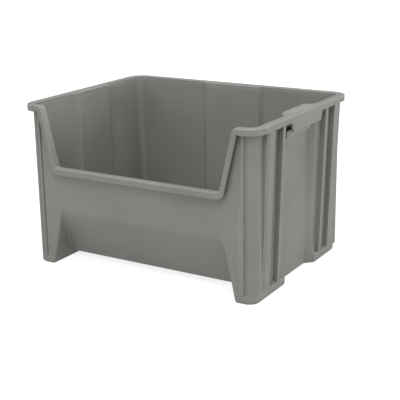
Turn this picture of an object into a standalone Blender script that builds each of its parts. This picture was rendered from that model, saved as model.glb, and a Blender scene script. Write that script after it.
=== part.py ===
"""Stackable hopper-front storage bin, 504.8 x 387.4 x 315.9 mm, in metres, +Z up.

X runs left to right, the open hopper front faces -Y, and the origin is the centre of the footprint on the
ground. The real bin is one polypropylene moulding. Here each of its moulded features is a body of its own,
and bodies that touch keep GAP between their faces. An inset is a distance inwards from the rim's outer face.
"""

import math

import bmesh
import bpy
from mathutils import Vector

WIDTH = 0.5048
DEPTH = 0.3874
HEIGHT = 0.3159
GAP = 0.0003
WALL = 0.004

# Rim: a flat plate with a skirt hanging from its outer edge. Only the stacking pads stand above it.
PAD_RISE = 0.0015
RIM_TOP = HEIGHT - PAD_RISE
RIM_WIDTH = 0.016
RIM_PLATE = 0.004
SKIRT_DROP = 0.012
SKIRT_THICKNESS = 0.0035
RIM_RADIUS = 0.032
ARC_STEPS = 8

# Side and back walls stand on the floor and the feet, and end under the rim's plate. The recessed middle of
# each side reaches down beside the floor, to just above the stacking pad of a bin below.
FLOOR_UNDERSIDE = 0.011
FLOOR_TOP = FLOOR_UNDERSIDE + WALL
WALL_FOOT = FLOOR_TOP + GAP
WALL_TOP = RIM_TOP - RIM_PLATE - GAP
WALL_INSET = 0.012
WALL_DRAFT = 0.007
MID_INSET = 0.025
MID_FOOT = 0.0022
SIDE_MID_HALF = 0.049
SIDE_STEP_END = 0.064
BACK_MID_INSET = 0.020
BACK_MID_HALF = 0.063
BACK_STEP_END = 0.071

# Corner posts, with the lands and ribs that carry the load between the feet and the rim.
POST_INSET = 0.011
POST_FACE_END = 0.226
POST_SIDE_END = 0.153
UPRIGHT_TOP_INSET = 0.0015
LAND = (0.125, 0.147)
RIB = (0.085, 0.095)
BEAD = (0.216, 0.221)
BEAD_INSET = 0.008

# Feet: shallow trays under the four corners. The rear ones stand further in than the floor behind them.
FOOT_WALL = 0.013
FOOT_CHAMFER = 0.002
FOOT_CHAMFER_TOP = 0.004
FOOT_END = SIDE_MID_HALF + GAP
REAR_FOOT_SETBACK = 0.011

# Front: the hopper cut, and the toe space between the two front legs.
FRONT_INSET = RIM_WIDTH - WALL
CUT_HALF_TOP = 0.2045
CUT_HALF_SILL = 0.177
SILL_TOP = 0.198
KICK_TOP = 0.110
KICK_HALF_TOP = 0.177
LEG_HALF_GROUND = 0.202
KICK_SETBACK = 0.068

# Grips: a wide plate over the recessed part of each side, a flap outside it and a ledge below. The stacking
# pad on the plate fits between the front and rear feet of the bin above.
FLAP_THICKNESS = 0.004
FLAP_BOTTOM = 0.285
FLAP_HALF_TOP = 0.068
FLAP_HALF_BOTTOM = 0.058
GRIP_HALF_INNER = 0.052
PAD_HALF = 0.046
PAD_OUTER_INSET = 0.008
LEDGE = (0.017, 0.0247)
LEDGE_Z = (0.270, 0.284)

PLASTIC = (0.212, 0.210, 0.195, 1.0)
PLASTIC_ROUGHNESS = 0.5

SIDES = (("left", -1), ("right", 1))
ENDS = (("front", -1), ("rear", 1))


def clear_scene():
    for obj in list(bpy.data.objects):
        bpy.data.objects.remove(obj, do_unlink=True)


def add_plastic(name):
    material = bpy.data.materials.new(name + "_plastic")
    material.use_nodes = True
    shader = material.node_tree.nodes["Principled BSDF"]
    shader.inputs["Base Color"].default_value = PLASTIC
    shader.inputs["Roughness"].default_value = PLASTIC_ROUGHNESS
    shader.inputs["Metallic"].default_value = 0.0
    return material


def add_solid(name, rings, parent):
    """One closed body lofted through the rings, capped at both ends and placed at the middle of its box."""
    points = [Vector(point) for ring in rings for point in ring]
    lowest = Vector(min(point[axis] for point in points) for axis in range(3))
    highest = Vector(max(point[axis] for point in points) for axis in range(3))
    middle = (lowest + highest) / 2
    form = bmesh.new()
    loops = [[form.verts.new(Vector(point) - middle) for point in ring] for ring in rings]
    for loop, following in zip(loops, loops[1:]):
        for index, vert in enumerate(loop):
            after = (index + 1) % len(loop)
            form.faces.new((vert, loop[after], following[after], following[index]))
    form.faces.new(loops[0])
    form.faces.new(loops[-1])
    bmesh.ops.recalc_face_normals(form, faces=form.faces)
    mesh = bpy.data.meshes.new(name)
    form.to_mesh(mesh)
    form.free()
    mesh.materials.append(add_plastic(name))
    obj = bpy.data.objects.new(name, mesh)
    bpy.context.scene.collection.objects.link(obj)
    obj.location = middle
    obj.parent = parent
    return obj


def mirrored(rings, x_sign, y_sign):
    return [[(x * x_sign, y * y_sign, z) for x, y, z in ring] for ring in rings]


def flat_ring(outline, z):
    return [(x, y, z) for x, y in outline]


def block(x_range, y_range, z_range):
    (x0, x1), (y0, y1), (z0, z1) = x_range, y_range, z_range
    outline = [(x0, y0), (x1, y0), (x1, y1), (x0, y1)]
    return [flat_ring(outline, z0), flat_ring(outline, z1)]


def corner_arc(inset, start, end):
    """Plan points about the rear right corner's centre, from one angle to another, measured from +Y to +X."""
    radius = RIM_RADIUS - inset
    centre_x = WIDTH / 2 - RIM_RADIUS
    centre_y = DEPTH / 2 - RIM_RADIUS
    angles = [start + (end - start) * step / ARC_STEPS for step in range(ARC_STEPS + 1)]
    return [(centre_x + radius * math.sin(a), centre_y + radius * math.cos(a)) for a in angles]


def wall_inset(z):
    """Inset of a side wall's outer face, which leans inwards towards the floor."""
    return WALL_INSET + WALL_DRAFT * (WALL_TOP - z) / (WALL_TOP - WALL_FOOT)


def leg_x(z):
    """Half width of the toe space between the front legs at one height."""
    return LEG_HALF_GROUND - (LEG_HALF_GROUND - KICK_HALF_TOP) * z / KICK_TOP


def kick_y(z):
    """Y of the kick panel's outer face, from the front wall's face down to its setback at the floor."""
    slope = (KICK_SETBACK - FRONT_INSET) / (KICK_TOP - FLOOR_UNDERSIDE)
    return -DEPTH / 2 + FRONT_INSET + (KICK_TOP - z) * slope


def kick_thickness():
    """The kick panel's thickness measured level, so that it is WALL thick square to its face."""
    slope = (KICK_SETBACK - FRONT_INSET) / (KICK_TOP - FLOOR_UNDERSIDE)
    return WALL * math.hypot(1, slope)


# Rim


def rim_section(width=RIM_WIDTH):
    """(depth below the top, inset) of the plate and its skirt."""
    return [
        (0, 0),
        (0, width),
        (RIM_PLATE, width),
        (RIM_PLATE, SKIRT_THICKNESS),
        (SKIRT_DROP, SKIRT_THICKNESS),
        (SKIRT_DROP, 0),
    ]


def cut_path():
    """The hopper cut's edge in X and Z, from the left lip to the right lip."""
    half = [(CUT_HALF_SILL, SILL_TOP), (CUT_HALF_TOP, RIM_TOP), (WIDTH / 2 - RIM_RADIUS, RIM_TOP)]
    return [(-x, z) for x, z in reversed(half)] + half


def direction(start, end):
    length = math.dist(start, end)
    return ((end[0] - start[0]) / length, (end[1] - start[1]) / length)


def cut_offset(index, depth):
    """The mitred point of the cut's edge moved a depth into the material."""
    path = cut_path()
    before = direction(path[index - 1], path[index])
    after = direction(path[index], path[index + 1])
    normals = [(before[1], -before[0]), (after[1], -after[0])]
    dot = normals[0][0] * normals[1][0] + normals[0][1] * normals[1][1]
    share = depth / (1 + dot)
    x = path[index][0] + (normals[0][0] + normals[1][0]) * share
    z = path[index][1] + (normals[0][1] + normals[1][1]) * share
    return x, z


def mitre_ring(index, heading):
    """The rim's section at a corner of the cut, drawn back by half the gap against the heading."""
    ring = []
    for depth, inset in rim_section():
        x, z = cut_offset(index, depth)
        ring.append((x + heading[0] * GAP / 2, -DEPTH / 2 + inset, z + heading[1] * GAP / 2))
    return ring


def add_hopper_frame(bin_root):
    names = ("hopper_flange_left", "hopper_sill", "hopper_flange_right")
    path = cut_path()
    for index, name in enumerate(names, start=1):
        ahead = direction(path[index], path[index + 1])
        back = (-ahead[0], -ahead[1])
        add_solid(name, [mitre_ring(index, ahead), mitre_ring(index + 1, back)], bin_root)


def rim_corner_rings():
    """Sections round the rear right corner, from the back to the side."""
    rings = []
    for step in range(ARC_STEPS + 1):
        angle = math.pi / 2 * step / ARC_STEPS
        ring = []
        for depth, inset in rim_section():
            x, y = corner_arc(inset, angle, angle)[0]
            ring.append((x, y, RIM_TOP - depth))
        rings.append(ring)
    return rings


def add_rim_corners(bin_root):
    right_lip = 4
    for side, x_sign in SIDES:
        rings = rim_corner_rings()
        add_solid(f"rim_corner_rear_{side}", mirrored(rings, x_sign, 1), bin_root)
        lip_end = mitre_ring(right_lip, (1, 0))
        rings = [lip_end] + mirrored(rings, 1, -1)
        add_solid(f"rim_corner_front_{side}", mirrored(rings, x_sign, 1), bin_root)


def add_rim_bars(bin_root):
    """Straight lengths of the rim. At the back the plate widens to cover the recessed middle of the wall."""
    over_recess = BACK_MID_INSET + WALL
    half = [
        (BACK_MID_HALF, over_recess),
        (BACK_STEP_END, RIM_WIDTH),
        (WIDTH / 2 - RIM_RADIUS - GAP, RIM_WIDTH),
    ]
    back = []
    for x, width in [(-x, width) for x, width in reversed(half)] + half:
        back.append([(x, DEPTH / 2 - inset, RIM_TOP - depth) for depth, inset in rim_section(width)])
    add_solid("rim_back", back, bin_root)
    ends = (FLAP_HALF_TOP + GAP, DEPTH / 2 - RIM_RADIUS - GAP)
    side_rings = [[(WIDTH / 2 - i, y, RIM_TOP - d) for d, i in rim_section()] for y in ends]
    for side, x_sign in SIDES:
        for end, y_sign in ENDS:
            add_solid(f"rim_side_{end}_{side}", mirrored(side_rings, x_sign, y_sign), bin_root)


def add_grips(bin_root):
    """Each grip is one bent section: the flap's face, and the plate from its top to the recessed wall."""
    outer = WIDTH / 2
    flap_back = outer - FLAP_THICKNESS
    rim_back = outer - RIM_WIDTH
    inner = outer - MID_INSET - WALL
    underside = RIM_TOP - RIM_PLATE
    section = [
        (outer, RIM_TOP, FLAP_HALF_TOP),
        (outer, FLAP_BOTTOM, FLAP_HALF_BOTTOM),
        (flap_back, FLAP_BOTTOM, FLAP_HALF_BOTTOM),
        (flap_back, underside, FLAP_HALF_TOP),
        (rim_back, underside, FLAP_HALF_TOP),
        (inner, underside, GRIP_HALF_INNER),
        (inner, RIM_TOP, GRIP_HALF_INNER),
        (rim_back, RIM_TOP, FLAP_HALF_TOP),
    ]
    rings = [[(x, half * y_sign, z) for x, z, half in section] for _, y_sign in ENDS]
    pad = block((inner, outer - PAD_OUTER_INSET), (-PAD_HALF, PAD_HALF), (RIM_TOP + GAP, HEIGHT))
    ledge = block((outer - LEDGE[1], outer - LEDGE[0]), (-SIDE_MID_HALF, SIDE_MID_HALF), LEDGE_Z)
    for side, x_sign in SIDES:
        add_solid(f"grip_{side}", mirrored(rings, x_sign, 1), bin_root)
        add_solid(f"stacking_pad_{side}", mirrored(pad, x_sign, 1), bin_root)
        add_solid(f"grip_ledge_{side}", mirrored(ledge, x_sign, 1), bin_root)


# Side and back walls


def side_wall_outline(z):
    outer = WIDTH / 2 - wall_inset(z)
    recessed = WIDTH / 2 - MID_INSET
    near_post = POST_SIDE_END - GAP
    near_mid = SIDE_MID_HALF + GAP
    return [
        (outer, near_post),
        (outer, SIDE_STEP_END),
        (recessed, near_mid),
        (recessed - WALL, near_mid),
        (outer - WALL, SIDE_STEP_END),
        (outer - WALL, near_post),
    ]


def add_side_walls(bin_root):
    rings = [flat_ring(side_wall_outline(z), z) for z in (WALL_FOOT, WALL_TOP)]
    recessed = WIDTH / 2 - MID_INSET
    mid = block((recessed - WALL, recessed), (-SIDE_MID_HALF, SIDE_MID_HALF), (MID_FOOT, WALL_TOP))
    for side, x_sign in SIDES:
        add_solid(f"side_wall_mid_{side}", mirrored(mid, x_sign, 1), bin_root)
        for end, y_sign in ENDS:
            add_solid(f"side_wall_{end}_{side}", mirrored(rings, x_sign, y_sign), bin_root)


def add_uprights(bin_root):
    """Lands and ribs: nearly flush with the rim's skirt at the top, and flush with the foot at the bottom."""
    top = RIM_TOP - SKIRT_DROP - GAP
    for name, (near, far) in (("land", LAND), ("rib", RIB)):
        rings = []
        for z, outer_inset in ((WALL_FOOT, POST_INSET), (top, UPRIGHT_TOP_INSET)):
            outer = WIDTH / 2 - outer_inset
            inner = WIDTH / 2 - wall_inset(z) + GAP
            rings.append(flat_ring([(inner, near), (outer, near), (outer, far), (inner, far)], z))
        for side, x_sign in SIDES:
            for end, y_sign in ENDS:
                add_solid(f"side_{name}_{end}_{side}", mirrored(rings, x_sign, y_sign), bin_root)


def add_back_wall(bin_root):
    outer = DEPTH / 2 - FRONT_INSET
    recessed = DEPTH / 2 - BACK_MID_INSET
    near_mid = BACK_MID_HALF + GAP
    near_post = POST_FACE_END - GAP
    outline = [
        (near_post, outer),
        (BACK_STEP_END, outer),
        (near_mid, recessed),
        (near_mid, recessed - WALL),
        (BACK_STEP_END, outer - WALL),
        (near_post, outer - WALL),
    ]
    rings = [flat_ring(outline, z) for z in (WALL_FOOT, WALL_TOP)]
    for side, x_sign in SIDES:
        add_solid(f"back_wall_{side}", mirrored(rings, x_sign, 1), bin_root)
    mid = block((-BACK_MID_HALF, BACK_MID_HALF), (recessed - WALL, recessed), (WALL_FOOT, WALL_TOP))
    add_solid("back_wall_mid", mid, bin_root)


def post_arc(back_inset, side_inset):
    """A rear right arc from POST_FACE_END on the back face round to the side, and on to POST_SIDE_END."""
    start = math.asin((POST_FACE_END - WIDTH / 2 + RIM_RADIUS) / (RIM_RADIUS - back_inset))
    points = []
    for step in range(ARC_STEPS + 1):
        share = step / ARC_STEPS
        angle = start + (math.pi / 2 - start) * share
        inset = back_inset + (side_inset - back_inset) * share
        points.append(corner_arc(inset, angle, angle)[0])
    return points + [(WIDTH / 2 - side_inset, POST_SIDE_END)]


def add_corner_posts(bin_root):
    """The inner face is level with the back wall's at one end and with the leaning side wall's at the other."""
    rings = []
    for z in (WALL_FOOT, WALL_TOP):
        inside = post_arc(RIM_WIDTH, wall_inset(z) + WALL)
        rings.append(flat_ring(post_arc(POST_INSET, POST_INSET) + inside[::-1], z))
    for side, x_sign in SIDES:
        for end, y_sign in ENDS:
            add_solid(f"corner_post_{end}_{side}", mirrored(rings, x_sign, y_sign), bin_root)


# Front


def add_front_wall(bin_root):
    """One flat panel with the hopper cut in its top and the toe space in its bottom."""
    edge = RIM_PLATE + GAP
    sill_corner = cut_offset(3, edge)
    lip_corner = cut_offset(4, edge)
    reach = POST_FACE_END - GAP
    right = [
        (KICK_HALF_TOP, KICK_TOP),
        (leg_x(WALL_FOOT), WALL_FOOT),
        (reach, WALL_FOOT),
        (reach, lip_corner[1]),
        lip_corner,
        sill_corner,
    ]
    outline = right + [(-x, z) for x, z in reversed(right)]
    outer = -DEPTH / 2 + FRONT_INSET
    add_solid("front_wall", [[(x, y, z) for x, z in outline] for y in (outer, outer + WALL)], bin_root)


def add_front_beads(bin_root):
    outer = -DEPTH / 2 + BEAD_INSET
    wall_face = -DEPTH / 2 + FRONT_INSET - GAP
    bead = block(BEAD, (outer, wall_face), (WALL_FOOT, RIM_TOP - SKIRT_DROP - GAP))
    for side, x_sign in SIDES:
        add_solid(f"front_bead_{side}", mirrored(bead, x_sign, 1), bin_root)


def add_kick_panel(bin_root):
    """The panel that slopes back between the legs, and the leg sides that close the toe space."""
    bottom, top = WALL_FOOT, KICK_TOP - GAP
    level = kick_thickness()
    profile = [
        (kick_y(bottom), bottom),
        (kick_y(bottom) + level, bottom),
        (kick_y(top) + level, top),
        (kick_y(top), top),
    ]
    rings = [[(sign * (leg_x(z) - GAP), y, z) for y, z in profile] for _, sign in SIDES]
    add_solid("kick_panel", rings, bin_root)
    behind_wall = -DEPTH / 2 + RIM_WIDTH + GAP
    triangle = [(behind_wall, bottom), (kick_y(bottom) + level, bottom), (behind_wall, top)]
    rings = [[(leg_x(z) + out, y, z) for y, z in triangle] for out in (0, WALL)]
    for side, x_sign in SIDES:
        add_solid(f"leg_side_{side}", mirrored(rings, x_sign, 1), bin_root)


# Floor and feet


def add_floor(bin_root):
    """A flat pan between the feet, reaching out to the recessed side walls and under the back wall."""
    body = leg_x(FLOOR_TOP) - GAP
    lobe = WIDTH / 2 - MID_INSET - WALL - GAP
    lobe_half = FOOT_END - GAP
    front = kick_y(FLOOR_TOP)
    back = DEPTH / 2 - FRONT_INSET
    right = [
        (body, front),
        (body, -lobe_half),
        (lobe, -lobe_half),
        (lobe, lobe_half),
        (body, lobe_half),
        (body, back),
    ]
    outline = right + [(-x, y) for x, y in reversed(right)]
    add_solid("floor_pan", [flat_ring(outline, z) for z in (FLOOR_UNDERSIDE, FLOOR_TOP)], bin_root)


def foot_outline(margin, setback, z):
    """Plan of the rear right foot, drawn in by a margin all round and by a setback from the back."""
    inner_x = leg_x(z) + margin
    outer_x = WIDTH / 2 - POST_INSET - margin
    slant_x = WIDTH / 2 - MID_INSET - margin / 2
    near = FOOT_END + margin
    arc = [(x, y - setback) for x, y in corner_arc(POST_INSET + margin, 0, math.pi / 2)]
    straight_end = SIDE_STEP_END + margin / 2
    outline = [(inner_x, arc[0][1])] + arc + [(outer_x, straight_end), (slant_x, near), (inner_x, near)]
    return flat_ring(outline, z)


def add_feet(bin_root):
    """Open trays: up the outside from the chamfered sole, then down the inside to the tray's bottom."""
    for end, y_sign, setback in (("front", -1, 0), ("rear", 1, REAR_FOOT_SETBACK)):
        rings = [
            foot_outline(FOOT_CHAMFER, setback, 0),
            foot_outline(0, setback, FOOT_CHAMFER_TOP),
            foot_outline(0, 0, FLOOR_TOP),
            foot_outline(FOOT_WALL, setback, FLOOR_TOP),
            foot_outline(FOOT_WALL, setback, WALL),
        ]
        if setback:
            step_foot = FLOOR_UNDERSIDE - FOOT_CHAMFER
            rings[2:2] = [foot_outline(0, setback, step_foot), foot_outline(0, 0, FLOOR_UNDERSIDE)]
        for side, x_sign in SIDES:
            add_solid(f"foot_{end}_{side}", mirrored(rings, x_sign, y_sign), bin_root)


def main():
    clear_scene()
    bin_root = bpy.data.objects.new("storage_bin", None)
    bpy.context.scene.collection.objects.link(bin_root)
    add_floor(bin_root)
    add_feet(bin_root)
    add_corner_posts(bin_root)
    add_side_walls(bin_root)
    add_uprights(bin_root)
    add_back_wall(bin_root)
    add_front_wall(bin_root)
    add_front_beads(bin_root)
    add_kick_panel(bin_root)
    add_rim_bars(bin_root)
    add_rim_corners(bin_root)
    add_hopper_frame(bin_root)
    add_grips(bin_root)


main()
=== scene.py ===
import math

import bmesh
import bpy
from mathutils import Matrix, Vector


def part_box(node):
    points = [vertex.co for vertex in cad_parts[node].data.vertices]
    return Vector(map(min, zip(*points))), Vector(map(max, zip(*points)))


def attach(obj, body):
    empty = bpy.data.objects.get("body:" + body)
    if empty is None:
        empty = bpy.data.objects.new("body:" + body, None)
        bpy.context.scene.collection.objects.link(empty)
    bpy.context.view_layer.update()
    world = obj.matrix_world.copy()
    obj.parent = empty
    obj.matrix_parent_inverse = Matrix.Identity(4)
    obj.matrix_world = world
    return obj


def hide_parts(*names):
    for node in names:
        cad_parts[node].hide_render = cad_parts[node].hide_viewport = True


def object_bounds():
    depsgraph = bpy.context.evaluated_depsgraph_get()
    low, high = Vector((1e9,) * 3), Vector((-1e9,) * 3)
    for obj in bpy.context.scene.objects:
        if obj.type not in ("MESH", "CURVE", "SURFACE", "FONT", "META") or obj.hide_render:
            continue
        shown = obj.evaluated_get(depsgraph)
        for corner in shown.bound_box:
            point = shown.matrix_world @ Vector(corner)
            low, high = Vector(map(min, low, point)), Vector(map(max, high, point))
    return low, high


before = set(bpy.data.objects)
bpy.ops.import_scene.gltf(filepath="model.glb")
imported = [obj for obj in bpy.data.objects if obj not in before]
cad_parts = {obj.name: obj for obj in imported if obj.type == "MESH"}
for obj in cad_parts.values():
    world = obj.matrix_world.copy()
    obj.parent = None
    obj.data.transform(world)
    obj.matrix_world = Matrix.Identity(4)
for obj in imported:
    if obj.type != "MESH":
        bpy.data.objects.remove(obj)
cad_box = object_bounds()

MM = 0.001
BODY = "root"


def box_low(node):
    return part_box(node)[0]


def box_high(node):
    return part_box(node)[1]


# Driving sizes, most of them read from the frame. An inset is a distance inwards from the rim's outer face.

NODE_GAP = 0.3 * MM  # between neighbouring CAD bodies
HALF_X = cad_box[1].x
HALF_Y = cad_box[1].y

RIM_TOP = box_high("rim_side_rear_right").z
RIM_WIDTH = HALF_X - box_low("rim_side_rear_right").x
SKIRT_DROP = RIM_TOP - box_low("rim_side_rear_right").z
RIM_RADIUS = HALF_X - box_high("rim_back").x - NODE_GAP
RIM_PLATE = 4 * MM
SKIRT_THICKNESS = 3.5 * MM
CORNER_X = HALF_X - RIM_RADIUS
CORNER_Y = HALF_Y - RIM_RADIUS

FLOOR_UNDERSIDE = box_low("floor_pan").z
FLOOR_TOP = box_high("floor_pan").z
WALL = FLOOR_TOP - FLOOR_UNDERSIDE
WALL_INSET = HALF_X - box_high("side_wall_rear_right").x
WALL_DRAFT = 7 * MM
SKIN = 0.05 * MM  # a wall's inner face stays this far inside the rim plate's edge that it meets

MID_INSET = HALF_X - box_high("side_wall_mid_right").x
SIDE_MID_HALF = box_high("side_wall_mid_right").y
MID_FOOT = box_low("side_wall_mid_right").z
SIDE_STEP_END = 64 * MM
BACK_MID_INSET = HALF_Y - box_high("back_wall_mid").y
BACK_MID_HALF = box_high("back_wall_mid").x
BACK_STEP_END = 71 * MM

POST_INSET = HALF_X - box_high("foot_rear_right").x
POST_SIDE_END = box_low("corner_post_rear_right").y
POST_FACE_END = box_low("corner_post_rear_right").x
FOOT_NEAR = box_low("foot_rear_right").y
LEG_HALF_FLOOR = box_low("foot_rear_right").x
LAND = (box_low("side_land_rear_right").y, box_high("side_land_rear_right").y)
RIB = (box_low("side_rib_rear_right").y, box_high("side_rib_rear_right").y)
UPRIGHT_TOP = RIM_TOP - SKIRT_DROP
UPRIGHT_TOP_INSET = HALF_X - box_high("side_land_rear_right").x

FRONT_INSET = box_low("front_wall").y + HALF_Y
BEAD = (box_low("front_bead_right").x, box_high("front_bead_right").x)
BEAD_INSET = box_low("front_bead_right").y + HALF_Y
PANEL_END = BEAD[0] - 2 * MM
CUT_HALF_TOP = box_low("rim_corner_front_right").x
CUT_HALF_SILL = box_low("hopper_flange_right").x
SILL_TOP = box_high("hopper_sill").z
KICK_TOP = box_high("kick_panel").z
KICK_HALF_TOP = 177 * MM
LEG_HALF_GROUND = 202 * MM
KICK_SETBACK = 68 * MM
FLAP_BOTTOM = box_low("grip_right").z


# Small helpers


def mix(a, b, share):
    return a + (b - a) * share


def soft_ramp(t, softness):
    """0 below 0 and 1 above 1, straight between, with both bends rounded."""
    if t <= -softness:
        return 0.0
    if t >= 1 + softness:
        return 1.0
    if t < softness:
        return (t + softness) ** 2 / (4 * softness)
    if t > 1 - softness:
        return 1 - (1 + softness - t) ** 2 / (4 * softness)
    return t


def ease(t):
    t = min(1.0, max(0.0, t))
    return t * t * (3 - 2 * t)


def rounded_outline(corners, steps):
    """Closed outline of (a, b, radius) corners, with every corner drawn as steps + 1 points."""
    points = []
    count = len(corners)
    for index, (a, b, radius) in enumerate(corners):
        here = Vector((a, b))
        to_last = (Vector(corners[index - 1][:2]) - here).normalized()
        to_next = (Vector(corners[(index + 1) % count][:2]) - here).normalized()
        half = to_last.angle(to_next) / 2
        centre = here + (to_last + to_next).normalized() * (radius / math.sin(half))
        start = here + to_last * (radius / math.tan(half)) - centre
        end = here + to_next * (radius / math.tan(half)) - centre
        turn = start.angle_signed(end)
        for step in range(steps + 1):
            points.append(centre + Matrix.Rotation(-turn * step / steps, 2) @ start)
    return points


MERGE_DISTANCE = 0.002 * MM
SHARP_ANGLE = math.radians(38)
NORMAL_WEIGHT = 60


def finish_mesh(form, name, material):
    """Object from a form, smooth-shaded with crisp edges."""
    bmesh.ops.remove_doubles(form, verts=form.verts, dist=MERGE_DISTANCE)
    bmesh.ops.recalc_face_normals(form, faces=form.faces)
    mesh = bpy.data.meshes.new(name)
    form.to_mesh(mesh)
    form.free()
    mesh.materials.append(material)
    mesh.shade_smooth()
    mesh.set_sharp_from_angle(angle=SHARP_ANGLE)
    piece = bpy.data.objects.new(name, mesh)
    bpy.context.scene.collection.objects.link(piece)
    weighted = piece.modifiers.new("weighted_normal", "WEIGHTED_NORMAL")
    weighted.keep_sharp = True
    weighted.weight = NORMAL_WEIGHT
    return piece


def add_piece(form, name, material, nodes):
    """A piece of the bin that takes the place of CAD nodes."""
    piece = finish_mesh(form, name, material)
    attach(piece, BODY)
    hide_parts(*nodes)
    return piece


def shell(columns, rows, outer, inner, keep=None):
    """Closed wall between two sheets of points that share one grid of columns i and rows j."""
    form = bmesh.new()
    verts = {}
    edges = {}

    def vert(side, cell):
        if (side, cell) not in verts:
            point = outer(*cell) if side == 0 else inner(*cell)
            verts[(side, cell)] = form.verts.new(point)
        return verts[(side, cell)]

    for i in range(columns - 1):
        for j in range(rows - 1):
            if keep and not keep(i, j):
                continue
            ring = [(i, j), (i + 1, j), (i + 1, j + 1), (i, j + 1)]
            form.faces.new([vert(0, cell) for cell in ring])
            form.faces.new([vert(1, cell) for cell in reversed(ring)])
            for a, b in zip(ring, ring[1:] + ring[:1]):
                edges[(a, b)] = edges.get((a, b), 0) + 1
    for a, b in edges:
        if (b, a) not in edges:
            form.faces.new([vert(0, b), vert(0, a), vert(1, a), vert(1, b)])
    return form


def loft(rings, closed):
    """Surface through the rings, joined end to end, or capped at both ends."""
    form = bmesh.new()
    loops = [[form.verts.new(point) for point in ring] for ring in rings]
    following = loops[1:] + loops[:1] if closed else loops[1:]
    for loop, after in zip(loops, following):
        for index, vert in enumerate(loop):
            beside = (index + 1) % len(loop)
            form.faces.new((vert, loop[beside], after[beside], after[index]))
    if not closed:
        form.faces.new(loops[0])
        form.faces.new(loops[-1])
    return form


# Side and back walls: one band of stations from the front left bead, round the back, to the front right


def wall_inset(z):
    """Inset of a side wall's outer face, which leans inwards towards the floor."""
    return WALL_INSET + WALL_DRAFT * (RIM_TOP - RIM_PLATE - z) / (RIM_TOP - RIM_PLATE - FLOOR_TOP)


FRONT_GROOVE_INSET = 12.3 * MM  # floor of the groove between a bead and its corner post
SIDE_GROOVE = 1.0 * MM          # depth of the groove between a land and its corner post
FOOT_BLEND = 3 * MM             # height over which a wall eases out to the foot below it
STEP_FOOT_BLEND = 22 * MM       # the same beside the recess, where its slanted step flows into the foot
BACK_FOOT_BLEND = 1.5 * MM      # the same where the recessed back meets the floor's edge
BEAD_FOOT_BLEND = 4 * MM
SIDE_BEND = 0.1                 # rounding of a slanted step's two bends, as a share of the step
BACK_BEND = 0.15
PLAIN_SHARE = 0.6               # share of a recess's half width at which one plain station stands


def upright_inset(z):
    """Outer face of a land or a rib: flush with the foot below, nearly flush with the skirt above."""
    return mix(POST_INSET, UPRIGHT_TOP_INSET, min(1.0, (z - FLOOR_TOP) / (UPRIGHT_TOP - FLOOR_TOP)))


def side_base(along, z):
    """Outer face of a side wall: recessed in the middle, with a slanted step at each end."""
    share = soft_ramp((along - SIDE_MID_HALF) / (SIDE_STEP_END - SIDE_MID_HALF), SIDE_BEND)
    return mix(MID_INSET, wall_inset(z), share)


def back_base(along):
    """The same for the back wall."""
    share = soft_ramp((along - BACK_MID_HALF) / (BACK_STEP_END - BACK_MID_HALF), BACK_BEND)
    return mix(BACK_MID_INSET, WALL_INSET, share)


# Across the edge of a raised feature, in mm: (distance onto it, rounding still to climb, None on the wall)
EDGE_STEPS = [(-1.0, None), (-0.3, None), (0.0, 0.9), (0.22, 0.35), (0.55, 0.08), (1.1, 0.0)]
EDGE_WIDTH = EDGE_STEPS[-1][0] * MM
POST_EDGE_SHARE = 0.6  # a corner post's edge is rounded less than a land's


def edge_span(name, place, rising, share=1.0):
    """Stations across one edge of a feature: (place, feature, rounding still to climb)."""
    sign = 1 if rising else -1
    span = []
    for offset, left in EDGE_STEPS:
        feature = None if left is None else name
        span.append((place + sign * offset * MM, feature, (left or 0) * MM * share))
    return span if rising else span[::-1]


def feature_span(name, near, far):
    return edge_span(name, near, True) + edge_span(name, far, False)


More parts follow.
